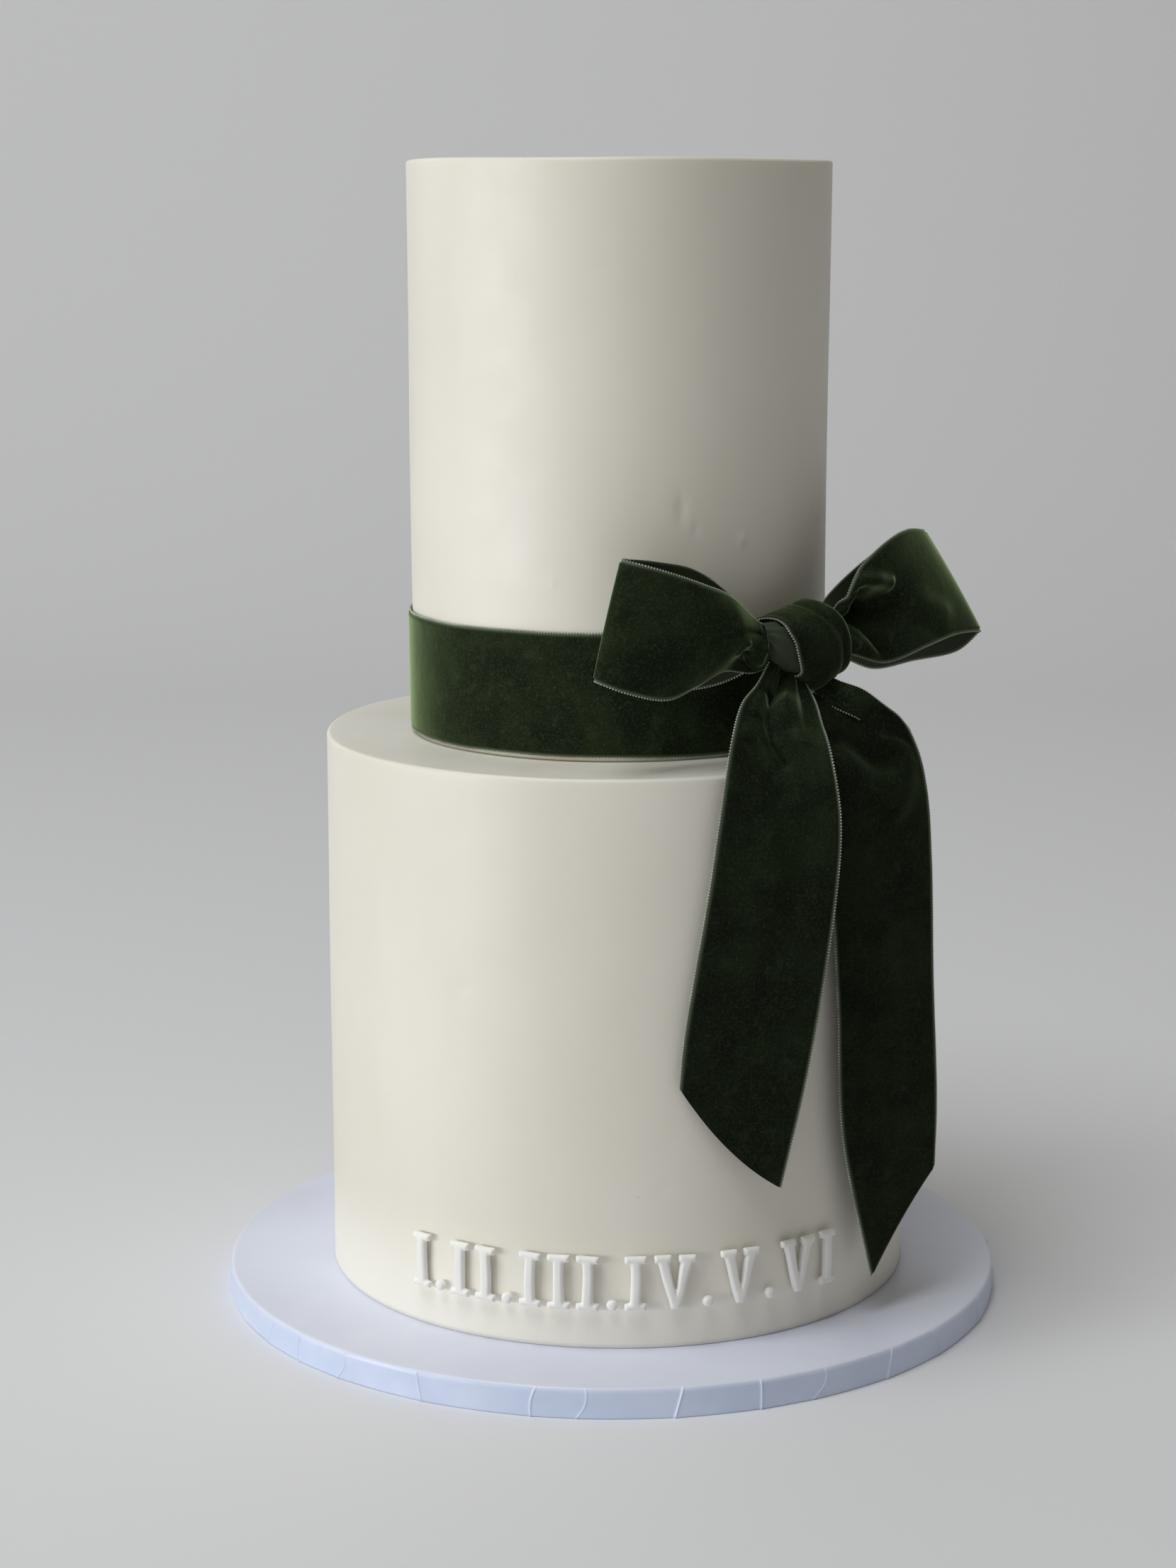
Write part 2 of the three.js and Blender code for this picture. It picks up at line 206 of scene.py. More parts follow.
def put(tree, kind, **inputs):
    """A node of the given kind with its inputs set by name, or linked where a socket is given."""
    node = tree.nodes.new(kind)
    for key, value in inputs.items():
        socket = node.inputs[key.replace("_", " ")]
        if isinstance(value, bpy.types.NodeSocket):
            tree.links.new(value, socket)
        else:
            socket.default_value = value
    return node


def noise(tree, vector, scale, detail=3.0, rough=0.5):
    """The value of a noise pattern over the given coordinates."""
    node = put(tree, "ShaderNodeTexNoise", Vector=vector, Scale=scale, Detail=detail, Roughness=rough)
    return node.outputs["Fac"]


def stretched(tree, vector, x, y, z):
    """Coordinates scaled unevenly, so a pattern runs long in one direction."""
    node = put(tree, "ShaderNodeMapping", Vector=vector)
    node.inputs["Scale"].default_value = (x, y, z)
    return node.outputs["Vector"]


def blend(tree, share, first, second):
    """A colour mixed from two by a share from 0 to 1."""
    node = tree.nodes.new("ShaderNodeMix")
    node.data_type = "RGBA"
    for socket, value in ((node.inputs[0], share), (node.inputs[6], first), (node.inputs[7], second)):
        if isinstance(value, bpy.types.NodeSocket):
            tree.links.new(value, socket)
        else:
            socket.default_value = value if isinstance(value, float) else (*value, 1.0)
    return node.outputs[2]


def ramp(tree, value, low, high, out_low=0.0, out_high=1.0):
    """A value carried smoothly from one range to another and held at its ends."""
    node = tree.nodes.new("ShaderNodeMapRange")
    node.interpolation_type = "SMOOTHSTEP"
    tree.links.new(value, node.inputs["Value"])
    for key, number in (("From Min", low), ("From Max", high), ("To Min", out_low), ("To Max", out_high)):
        node.inputs[key].default_value = number
    return node.outputs["Result"]


def bump(tree, height, distance, strength=1.0, under=None):
    """The normal of a surface that a height pattern raises by the given distance."""
    node = put(tree, "ShaderNodeBump", Height=height, Distance=distance, Strength=strength)
    if under is not None:
        tree.links.new(under, node.inputs["Normal"])
    return node.outputs["Normal"]


def new_group(name, inputs, outputs):
    """A shader node group with the given named sockets, and what leads in and out of it."""
    group = bpy.data.node_groups.new(name, "ShaderNodeTree")
    for way, sockets in (("INPUT", inputs), ("OUTPUT", outputs)):
        for label, kind in sockets.items():
            group.interface.new_socket(label, in_out=way, socket_type="NodeSocket" + kind)
    return group, group.nodes.new("NodeGroupInput").outputs, group.nodes.new("NodeGroupOutput").inputs


def build_worked_surface():
    """The group for a surface worked by hand: a cloudy mask, a colour that runs between two by that
    mask, and a normal raised and sunk by it."""
    inputs = {"Place": "Vector", "Scale": "Float", "Relief": "Float"}
    colours = {"Low Colour": "Color", "High Colour": "Color"}
    outputs = {"Colour": "Color", "Mask": "Float", "Normal": "Vector"}
    group, inlet, outlet = new_group("worked_surface", inputs | colours, outputs)
    cloud = noise(group, inlet["Place"], inlet["Scale"], 3.0, 0.55)
    mask = ramp(group, cloud, 0.3, 0.7)
    group.links.new(blend(group, mask, inlet["Low Colour"], inlet["High Colour"]), outlet["Colour"])
    group.links.new(mask, outlet["Mask"])
    group.links.new(bump(group, cloud, inlet["Relief"], 0.35), outlet["Normal"])
    return group


def build_fine_grain():
    """The group for a fine grain: the normal of the surface beneath, raised by a close noise."""
    inputs = {"Place": "Vector", "Under": "Vector"}
    amounts = {key: "Float" for key in ("Scale", "Detail", "Roughness", "Height", "Strength")}
    group, inlet, outlet = new_group("fine_grain", inputs | amounts, {"Normal": "Vector"})
    cloud = noise(group, inlet["Place"], inlet["Scale"], inlet["Detail"], inlet["Roughness"])
    raised = bump(group, cloud, inlet["Height"], inlet["Strength"], inlet["Under"])
    group.links.new(raised, outlet["Normal"])
    return group


worked_surface = build_worked_surface()
fine_grain = build_fine_grain()


def worked(tree, place, scale, low, high, relief):
    """The worked surface placed in a material with its own scale, colours and relief."""
    node = tree.nodes.new("ShaderNodeGroup")
    node.node_tree = worked_surface
    tree.links.new(place, node.inputs["Place"])
    node.inputs["Scale"].default_value = scale
    node.inputs["Low Colour"].default_value = (*low, 1.0)
    node.inputs["High Colour"].default_value = (*high, 1.0)
    node.inputs["Relief"].default_value = relief
    return node.outputs


def grained(tree, place, scale, height, strength, under=None, detail=3.0, rough=0.5):
    """The normal of the fine grain placed in a material, over another normal or over the bare mesh."""
    if under is None:
        under = tree.nodes.new("ShaderNodeNewGeometry").outputs["Normal"]
    node = tree.nodes.new("ShaderNodeGroup")
    node.node_tree = fine_grain
    tree.links.new(place, node.inputs["Place"])
    tree.links.new(under, node.inputs["Under"])
    amounts = {"Scale": scale, "Detail": detail, "Roughness": rough, "Height": height, "Strength": strength}
    for key, value in amounts.items():
        node.inputs[key].default_value = value
    return node.outputs["Normal"]


def covering_paper():
    """Cool white glazed paper, painted a bluer, slightly darker white down the side than on the top as
    painted light, with a faint emboss and slightly duller hollows."""
    material, tree, shader, place = new_material("covering_paper")
    height = put(tree, "ShaderNodeSeparateXYZ", Vector=place).outputs["Z"]
    top = worked(tree, place, 22.0, (0.735, 0.765, 0.885), (0.785, 0.815, 0.93), 0.35 * MM)
    edge = worked(tree, place, 60.0, (0.615, 0.695, 0.885), (0.675, 0.75, 0.925), 0.35 * MM)
    # Painted light: below the rim the colour runs to a bluer, slightly darker white for the side.
    colour = blend(tree, ramp(tree, height, 0.0082, 0.0094), edge["Colour"], top["Colour"])
    tree.links.new(colour, shader.inputs["Base Color"])
    tree.links.new(ramp(tree, top["Mask"], 0.0, 1.0, 0.36, 0.46), shader.inputs["Roughness"])
    emboss = grained(tree, place, 900.0, 0.05 * MM, 0.5, edge["Normal"], 4.0, 0.6)
    tree.links.new(emboss, shader.inputs["Normal"])
    return material


board = make_piece("board_covering", *board_points())
board.data.materials.append(covering_paper())
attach(board, "root")
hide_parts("board")


# Tiers: two tall rounds of cake, each under one smooth coat of ivory icing, worked by hand to a crisp
# small-radius rim. The wall stands slightly uneven and has a few nicks, pits and rubbed places.
cake_x = 2.1 * MM
cake_y = -0.5 * MM
rim_radius = 1.2 * MM
unevenness = 0.25
quick_unevenness = 0.12
lower_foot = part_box("lower_tier")[0][2]
upper_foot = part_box("upper_tier")[0][2]
ledge = 185.7 * MM
lower_radius = 94.3 * MM
upper_foot_radius = 65.8 * MM
upper_top_radius = 66.5 * MM
upper_height = 179.5 * MM
upper_lean = -0.4 * MM


def uneven(angle, height, seed):
    """How far the icing stands out from a true round, in millimetres: slow waves round the tier that
    drift with its height, and a weaker quick one."""
    slow = np.sin(2 * angle + seed) + 0.6 * np.sin(3 * angle - 2 * seed + height / 60)
    quick = np.sin(5 * angle + height / 23 + seed)
    return unevenness * slow / 1.6 + quick_unevenness * quick


def tier_points(foot, top, foot_radius, top_radius, lean, seed, marks):
    """Wall, rim arc and top of a tier carried round its axis, stood out by the uneven coat; each mark
    is a small soft pit or bump at an angle and height."""
    count = 480
    angle = np.linspace(0, 2 * np.pi, count, endpoint=False)
    height = top - foot
    arc = np.linspace(0, np.pi / 2, 9)
    wall = [(h, 0.0) for h in np.linspace(0, height - rim_radius, 130)]
    rim = [(height - rim_radius * (1 - math.sin(a)), rim_radius * (1 - math.cos(a))) for a in arc[1:]]
    mid = (foot_radius + top_radius) / 2
    lid = [(height, mid * f) for f in (0.03, 0.06, 0.1, 0.2, 0.35, 0.5, 0.65, 0.8, 0.93)]
    floor = [(0.0, mid * f) for f in (0.9, 0.6, 0.3)]
    profile = np.array(floor + wall + rim + lid)
    rise, inset = profile[:, :1], profile[:, 1:]
    share = rise / height
    true_radius = foot_radius + (top_radius - foot_radius) * share
    r = true_radius - inset + MM * uneven(angle, rise / MM, seed) * np.clip(1 - inset / mid * 1.05, 0, 1)
    for where, level, wide, tall, depth in marks:
        away = (angle - where + np.pi) % (2 * np.pi) - np.pi
        spot = np.exp(-((away * true_radius / wide) ** 2) - (((rise + foot) - level) / tall) ** 2)
        r = r + depth * spot * (inset < 2 * MM)
    lift = np.where(share > 0.95, MM * uneven(angle + 1, 0, seed + 2), 0.0)
    lift = lift * np.clip(1.2 - inset / mid, 0.15, 1)
    x = cake_x + lean * share + r * np.cos(angle)
    y = cake_y + r * np.sin(angle)
    z = foot + rise + lift
    rows = np.stack([x, y, np.broadcast_to(z, x.shape)], -1)
    foot_centre = [[cake_x, cake_y, foot]]
    top_centre = [[cake_x + lean, cake_y, float(top)]]
    points = np.concatenate([foot_centre, rows.reshape(-1, 3), top_centre])
    return points, turned_faces(len(profile), count)


def from_front(degrees):
    """The turning angle of a place given in degrees round from the front, positive to the right."""
    return math.radians(degrees - 90)


def ivory_icing():
    """Satin ivory icing: barely mottled, rubbed in slow upright strokes, painted paler toward the foot as
    painted light thrown up from the board, with rare pin holes painted darker as painted shade, and a fine
    skin that takes the light softly."""
    material, tree, shader, place = new_material("ivory_icing")
    strokes = stretched(tree, place, 1, 1, 0.45)
    coat = worked(tree, strokes, 16.0, (0.775, 0.742, 0.648), (0.825, 0.797, 0.712), 0.8 * MM)
    cloud = noise(tree, place, 75.0, 4.0, 0.55)
    pin_holes_and_shade = ramp(tree, noise(tree, place, 340.0, 2.0), 0.17, 0.2)
    height = put(tree, "ShaderNodeSeparateXYZ", Vector=place).outputs["Z"]
    # Painted light: up to 5 cm above the floor the colour runs toward a paler ivory, standing in for light
    # thrown up from the board.
    paler_foot_painted_light = blend(tree, ramp(tree, height, 0.015, 0.05, 0.8, 0.0), coat["Colour"], (0.94, 0.91, 0.81))
    # The pin holes are sunk by the bump below and also painted darker: painted shade in the holes.
    colour = blend(tree, pin_holes_and_shade, (0.60, 0.56, 0.46), paler_foot_painted_light)
    tree.links.new(colour, shader.inputs["Base Color"])
    tree.links.new(ramp(tree, cloud, 0.3, 0.7, 0.44, 0.56), shader.inputs["Roughness"])
    shader.inputs["Subsurface Weight"].default_value = 0.12
    shader.inputs["Subsurface Radius"].default_value = (1.0, 0.75, 0.5)
    shader.inputs["Subsurface Scale"].default_value = 0.004
    skin = bump(tree, cloud, 0.22 * MM, 0.3, coat["Normal"])
    grain = grained(tree, place, 1500.0, 0.03 * MM, 0.4, skin, 3.0, 0.6)
    tree.links.new(bump(tree, pin_holes_and_shade, 0.12 * MM, 0.5, grain), shader.inputs["Normal"])
    return material


icing = ivory_icing()
upper_marks = [
    (from_front(-5), 333 * MM, 4 * MM, 0.8 * MM, -0.25 * MM),
    (from_front(16), 262 * MM, 1.6 * MM, 4 * MM, -0.3 * MM),
    (from_front(20), 256 * MM, 0.9 * MM, 1.1 * MM, -0.35 * MM),
    (from_front(34), 252 * MM, 1.2 * MM, 1.2 * MM, 0.4 * MM),
    (from_front(-18), 240 * MM, 0.7 * MM, 0.7 * MM, 0.3 * MM),
    (from_front(150), 300 * MM, 3 * MM, 1.4 * MM, -0.3 * MM),
    (from_front(-120), 270 * MM, 1.2 * MM, 2.5 * MM, -0.3 * MM),
]
lower_marks = [
    (from_front(-30), 120 * MM, 1.2 * MM, 2.2 * MM, -0.25 * MM),
    (from_front(8), 60 * MM, 2.4 * MM, 1.0 * MM, -0.22 * MM),
    (from_front(170), 110 * MM, 1.5 * MM, 3.0 * MM, -0.3 * MM),
    (from_front(-95), 80 * MM, 1.0 * MM, 1.2 * MM, 0.3 * MM),
]
lower_shape = tier_points(lower_foot, ledge, lower_radius, lower_radius, 0.0, 0, lower_marks)
lower = make_piece("lower_tier_icing", *lower_shape)
upper_shape = tier_points(
    upper_foot, ledge + upper_height, upper_foot_radius, upper_top_radius, upper_lean, 1, upper_marks
)
upper = make_piece("upper_tier_icing", *upper_shape)
for piece, node in ((lower, "lower_tier"), (upper, "upper_tier")):
    piece.data.materials.append(icing)
    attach(piece, "root")
    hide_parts(node)


# Numerals: cut from white icing with small cutters and stuck on the wall, so each is soft at its
# edges, a little out of true and slightly proud at its serifs.
def white_icing():
    """White icing, matt and faintly floury, a shade colder than the ivory coat behind it."""
    material, tree, shader, place = new_material("white_icing")
    coat = worked(tree, place, 160.0, (0.82, 0.805, 0.765), (0.88, 0.87, 0.84), 0.15 * MM)
    tree.links.new(coat["Colour"], shader.inputs["Base Color"])
    shader.inputs["Roughness"].default_value = 0.55
    shader.inputs["Subsurface Weight"].default_value = 0.15
    shader.inputs["Subsurface Radius"].default_value = (1.0, 0.85, 0.7)
    shader.inputs["Subsurface Scale"].default_value = 0.003
    soft = grained(tree, place, 420.0, 0.12 * MM, 0.35, coat["Normal"])
    tree.links.new(soft, shader.inputs["Normal"])
    return material


# Slow waves in the soft icing: radians to the metre across and up, and how far each way they move it.
wave_across = 310.0
wave_up = 360.0
wave_size = np.array([0.16, 0.12, 0.2]) * MM


def softened(node, name, seed):
    """The node's solid remeshed finely, its corners relaxed, and its surface moved by the sine of its
    place across times the cosine of its place up, with a seeded phase, so that no two are alike."""
    mesh = bpy.data.objects[node].data.copy()
    work = bmesh.new()
    work.from_mesh(mesh)
    bmesh.ops.remove_doubles(work, verts=work.verts, dist=1e-6)
    work.to_mesh(mesh)
    work.free()
    rough = bpy.data.objects.new(name + "_rough", mesh)
    bpy.context.collection.objects.link(rough)
    remesh = rough.modifiers.new("remesh", "REMESH")
    remesh.mode = "VOXEL"
    remesh.voxel_size = 0.3 * MM
    relax = rough.modifiers.new("relax", "SMOOTH")
    relax.iterations = 9
    relax.factor = 0.6
    seen = rough.evaluated_get(bpy.context.evaluated_depsgraph_get())
    final = bpy.data.meshes.new_from_object(seen)
    bpy.data.objects.remove(rough)
    bpy.data.meshes.remove(mesh)
    final.name = name
    place = np.empty(len(final.vertices) * 3)
    final.vertices.foreach_get("co", place)
    place = place.reshape(-1, 3)
    rng = np.random.default_rng(seed)
    phase = rng.uniform(0, 6.28, (3, 3))
    wave = np.sin(place[:, :1] * wave_across + phase[0]) * np.cos(place[:, 2:] * wave_up + phase[1])
    place += wave * wave_size
    final.vertices.foreach_set("co", place.ravel())
    final.shade_smooth()
    piece = bpy.data.objects.new(name, final)
    bpy.context.collection.objects.link(piece)
    return piece


numeral_icing = white_icing()
numeral_nodes = sorted(n for n in frame["nodes"] if n.startswith("numeral_"))
for order, node in enumerate(numeral_nodes):
    piece = softened(node, node + "_icing", 40 + order)
    piece.data.materials.append(numeral_icing)
    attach(piece, "root")
    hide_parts(node)


# Velvet ribbon, 38 mm wide: a dense green pile on one face, a smooth reverse, and a narrow bare
# selvedge along each side whose edge is a row of tiny pale loops of thread.
ribbon_width = 38.1 * MM
pile_height = 0.42 * MM
ground_half = 0.16 * MM
selvedge = 0.75 * MM
pile_slope = 0.5 * MM
loop_pitch = 0.92 * MM
loop_radius = 0.31 * MM


def across_places(inner):
    """Places across the ribbon from 0 to 1: close together at both selvedges, even between."""
    edge = np.array([0.0, 0.3, 0.6, 0.85, 1.15, 1.7, 2.6]) * MM / ribbon_width
    middle = np.linspace(edge[-1], 1 - edge[-1], inner + 2)[1:-1]
    return np.concatenate([edge, middle, (1 - edge)[::-1]])


def cloth_solid(name, middle, normal, across):
    """Two skins over a grid of cloth: the pile face stands out along the normal by the pile's height away
    from the selvedges, the reverse lies just behind, and the rims join them. The level share of the
    direction the ribbon runs in is kept for painted light and shade on the pile, lighter where the ribbon
    runs level and darker where it hangs."""
    rows, columns = middle.shape[:2]
    inward = np.minimum(across, 1 - across) * ribbon_width
    rise = np.clip((inward - selvedge) / pile_slope, 0, 1)
    rise = rise * rise * (3 - 2 * rise)
    front = middle + normal * (ground_half + pile_height * rise)[None, :, None]
    back = middle - normal * ground_half
    points = np.concatenate([front, back[:, ::-1]], axis=1)
    width = 2 * columns
    body = grid_quads(rows, width, close_columns=True)
    j = np.arange(columns - 1)
    ends = []
    for start in (0, (rows - 1) * width):
        ends.append(np.stack([start + j, start + j + 1, start + width - 2 - j, start + width - 1 - j], -1))
    pile = np.concatenate([np.tile(rise, (rows, 1)), np.zeros((rows, columns))], axis=1)
    step = np.linalg.norm(np.diff(middle[:, columns // 2], axis=0), axis=1)
    along = np.concatenate([[0], np.cumsum(step)])
    run = np.repeat(along[:, None], width, axis=1)
    side = np.tile(np.concatenate([across, across[::-1]]) * ribbon_width, (rows, 1))
    way = np.gradient(middle, axis=0)
    # The level share feeds painted light and shade on the velvet: lighter where the ribbon runs level,
    # darker where it hangs.
    level = np.linalg.norm(way[..., :2], axis=2) / np.maximum(np.linalg.norm(way, axis=2), 1e-9)
    level = np.concatenate([level, level[:, ::-1]], axis=1)
    values = {"pile": pile, "along": run / MM, "across": side / MM, "level": level}
    return make_piece(name, points, [body, *ends], values)


def thread_loops(name, edges):
    """A row of small beads of thread along each given edge line, at an even pitch along it."""
    rings, around = 4, 6
    lat = np.linspace(0, np.pi, rings + 1)[1:-1]
    lon = np.linspace(0, 2 * np.pi, around, endpoint=False)
    unit = np.stack(
        [
            np.outer(np.sin(lat), np.cos(lon)),
            np.outer(np.sin(lat), np.sin(lon)),
            np.outer(np.cos(lat), np.ones(around)),
        ],
        -1,
    ).reshape(-1, 3)
    unit = np.concatenate([[[0, 0, 1]], unit, [[0, 0, -1]]])
    faces = turned_faces(rings - 1, around)
    all_points, all_quads, all_fans, base = [], [], [], 0
    for line in edges:
        step = np.linalg.norm(np.diff(line, axis=0), axis=1)
        along = np.concatenate([[0], np.cumsum(step)])
        count = max(int(along[-1] / loop_pitch), 1)
        at = (np.arange(count) + 0.5) * along[-1] / count
        centres = np.stack([np.interp(at, along, line[:, k]) for k in range(3)], -1)
        beads = centres[:, None, :] + unit[None] * loop_radius
        all_points.append(beads.reshape(-1, 3))
        shift = base + np.arange(count)[:, None, None] * len(unit)
        all_quads.append((faces[0][None] + shift).reshape(-1, 4))
        all_fans += [(fan[None] + shift).reshape(-1, 3) for fan in faces[1:]]
        base += count * len(unit)
    return make_piece(name, np.concatenate(all_points), all_quads + all_fans)


def stored(tree, name):
    """The number that the mesh keeps for each point under the given name."""
    node = tree.nodes.new("ShaderNodeAttribute")
    node.attribute_name = name
    return node.outputs["Fac"]


def pile_colour(tree, place, on_cloth, crushed, lean):
    """The pile's colour: near black where it is deep and greener where it is stroked, crushed or seen at
    its tips, scaled by how level the ribbon runs as painted light and shade, lighter where it runs level
    and darker where it hangs, with a few pale bits of lint."""
    stroked = ramp(tree, noise(tree, place, 60.0, 3.0, 0.6), 0.36, 0.68)
    deep = blend(tree, stroked, (0.0046, 0.0080, 0.0031), (0.0120, 0.0188, 0.0068))
    deep = blend(tree, ramp(tree, crushed, 0.52, 0.75, 0.0, 0.45), deep, (0.030, 0.043, 0.018))
    tips = ramp(tree, noise(tree, place, 1500.0, 3.0, 0.7), 0.46, 0.72, 0.0, 0.55)
    deep = blend(tree, tips, deep, (0.036, 0.052, 0.024))
    # Painted light and shade: the pile colour is scaled up where the ribbon runs level and down where it
    # hangs.
    pile_with_painted_level_shade = tree.nodes.new("ShaderNodeVectorMath")
    pile_with_painted_level_shade.operation = "SCALE"
    tree.links.new(deep, pile_with_painted_level_shade.inputs["Vector"])
    tree.links.new(ramp(tree, lean, 0.35, 0.95, 0.75, 1.15), pile_with_painted_level_shade.inputs["Scale"])
    lint = ramp(tree, noise(tree, on_cloth, 1.9, 1.0), 0.79, 0.805, 0.0, 0.6)
    return blend(tree, lint, pile_with_painted_level_shade.outputs["Vector"], (0.22, 0.25, 0.19))


def ground_colour(tree, on_cloth, across):
    """The woven ground's colour: fine rows of thread, paler on the bare selvedges."""
    rows = stretched(tree, on_cloth, 1, 0, 0)
    weave = put(tree, "ShaderNodeTexWave", Vector=rows, Scale=1.6, Distortion=0.3)
    thread = blend(tree, weave.outputs["Fac"], (0.028, 0.035, 0.022), (0.040, 0.049, 0.031))
    inside = tree.nodes.new("ShaderNodeMath")
    inside.operation = "MULTIPLY"
    tree.links.new(ramp(tree, across, 0.3, 0.9), inside.inputs[0])
    tree.links.new(ramp(tree, across, 37.2, 37.8, 1.0, 0.0), inside.inputs[1])
    return blend(tree, inside.outputs["Value"], (0.105, 0.130, 0.085), thread)


def velvet(name, sheen):
    """Green velvet. The pile is near black where it is looked into and pale at a grazing angle, with
    brushed and crushed patches; its colour is painted lighter where the ribbon runs level and darker where
    it hangs, as painted light and shade. Selvedge and reverse are smooth woven thread. The sheen is one
    plain number on each copy, higher on the lit copies and lower on the shaded ones, as painted light."""
    material, tree, shader, place = new_material(name)
    pile, along, across, lean = (stored(tree, key) for key in ("pile", "along", "across", "level"))
    on_cloth = put(tree, "ShaderNodeCombineXYZ", X=along, Y=across).outputs["Vector"]
    crushed = noise(tree, place, 190.0, 4.0, 0.65)
    ground = ground_colour(tree, on_cloth, across)
    cover = pile_colour(tree, place, on_cloth, crushed, lean)
    tree.links.new(blend(tree, pile, ground, cover), shader.inputs["Base Color"])
    tree.links.new(ramp(tree, pile, 0.0, 1.0, 0.55, 0.95), shader.inputs["Roughness"])
    shader.inputs["Specular IOR Level"].default_value = 0.1
    shader.inputs["Sheen Weight"].default_value = sheen
    shader.inputs["Sheen Roughness"].default_value = 0.32
    shader.inputs["Sheen Tint"].default_value = (0.64, 0.86, 0.42, 1.0)
    nap = grained(tree, place, 2600.0, 0.10 * MM, 0.55, detail=2.0)
    tree.links.new(bump(tree, crushed, 0.5 * MM, 0.3, nap), shader.inputs["Normal"])
    return material


def pale_thread():
    """Pale green-white thread of the looped edge, slightly uneven along its length."""
    material, tree, shader, place = new_material("edge_thread")
    twist = worked(tree, place, 130.0, (0.24, 0.28, 0.20), (0.46, 0.51, 0.40), 0.1 * MM)
    tree.links.new(twist["Colour"], shader.inputs["Base Color"])
    tree.links.new(twist["Normal"], shader.inputs["Normal"])
    shader.inputs["Roughness"].default_value = 0.6
    shader.inputs["Sheen Weight"].default_value = 0.2
    return material


# Lit and shaded copies of the velvet: the sheen is strongest on ribbon laid level, weaker on the knot's
# wrap and weakest on the hanging tails, as painted light and shade.
laid_velvet_lit = velvet("green_velvet", 1.0)
wrapped_velvet_half_lit = velvet("green_velvet_wrapped", 0.7)
hung_velvet_shaded = velvet("green_velvet_hung", 0.56)
thread_finish = pale_thread()


def finish_ribbon(cloth, loops, velvet_finish, node):
    """Gives a ribbon and its thread loops their finish and body, and hides their node."""
    cloth.data.materials.append(velvet_finish)
    loops.data.materials.append(thread_finish)
    for piece in (cloth, loops):
        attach(piece, "root")
        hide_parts(node)


# Band: the ribbon drawn once round the foot of the upper tier, its lower edge just above the ledge.
# It lies flat on the icing, and its ends meet out of sight behind the bow.
band_foot = 1.3 * MM
band_gap = 0.3 * MM
band_narrowing = 0.3 * MM


def band_grid():
    """Points of the band's cloth and its outward normals: the tier's own uneven round, stood out by
    the gap, with the edges a hair uneven as hand-laid ribbon is."""
    count = 560
    across = across_places(16)
    angle = np.linspace(from_front(50), from_front(50) + 2 * np.pi, count)
    rise = band_foot + across * (ribbon_width - band_narrowing)
    share = rise / upper_height
    radius = upper_foot_radius + (upper_top_radius - upper_foot_radius) * share
    stand = band_gap + ground_half + unevenness * MM
    a = angle[:, None]
    r = radius + stand + MM * uneven(a, rise / MM, 1)
    drift = 0.18 * MM * np.sin(3 * a + 0.7) + 0.08 * MM * np.sin(11 * a)
    x = cake_x + upper_lean * share + r * np.cos(a)
    y = cake_y + r * np.sin(a)
    z = ledge + rise + drift * (1 + 0 * rise)
    middle = np.stack([x, y, np.broadcast_to(z, x.shape)], -1)
    normal = np.stack([np.cos(a) + 0 * r, np.sin(a) + 0 * r, 0 * r], -1)
    return middle, normal, across


middle, normal, across = band_grid()
band = cloth_solid("ribbon_band_velvet", middle, normal, across)
outward = normal[:, 0] * 0.1 * MM
band_loops = thread_loops("ribbon_band_picots", [middle[:, 0] + outward, middle[:, -1] + outward])
finish_ribbon(band, band_loops, laid_velvet_lit, "ribbon_band")


# Bow: two loops and two tails of the same ribbon, gathered where they pass through the knot. Each
# station is a place on both selvedges, in millimetres, and a crown; a loop is folded flat at its end,
# and the tails spring out over the ledge and hang free of the wall.
cloth_columns = 44
crease_span = 32.0
knot_turn = 42.0
knot_out = 79 * MM
knot_up = ledge + 34.8 * MM


def directions(turn, side):
    """Unit directions along a piece of the bow and outward from the cake, at a turn from the front."""
    angle = math.radians(turn)
    along = side * np.array([math.cos(angle), math.sin(angle), 0.0])
    out = np.array([math.sin(angle), -math.cos(angle), 0.0])
    return along, out


knot_centre = directions(knot_turn, 1)[1] * knot_out


def placed(turn, side, values):
    """Points given as millimetres along from the knot, out from the cake's axis and up from the knot."""
    along, out = directions(turn, side)
    values = np.asarray(values, float) * MM
    start = knot_centre @ along
    origin = np.array([cake_x, cake_y, knot_up])
    level = (values[..., :1] + start) * along + values[..., 1:2] * out
    return origin + level + values[..., 2:] * [0, 0, 1]


def flowing(points, s):
    """A centripetal Catmull-Rom curve through the points, read at shares s of its stretches."""
    points = np.vstack([2 * points[0] - points[1], points, 2 * points[-1] - points[-2]])
    stretches = len(points) - 3
    at = np.clip(s, 0, 1) * stretches
    i = np.minimum(at.astype(int), stretches - 1)
    f = (at - i)[:, None]
    p0, p1, p2, p3 = (points[i + k] for k in range(4))
    gaps = ((p0, p1), (p1, p2), (p2, p3))
    d0, d1, d2 = (np.maximum(np.linalg.norm(b - a, axis=1) ** 0.5, 1e-6)[:, None] for a, b in gaps)
    t1 = ((p1 - p0) / d0 - (p2 - p0) / (d0 + d1) + (p2 - p1) / d1) * d1
    t2 = ((p2 - p1) / d1 - (p3 - p1) / (d1 + d2) + (p3 - p2) / d2) * d1
    return (
        p1
        + t1 * f
        + (-3 * p1 + 3 * p2 - 2 * t1 - t2) * f**2
        + (2 * p1 - 2 * p2 + t1 + t2) * f**3
    )


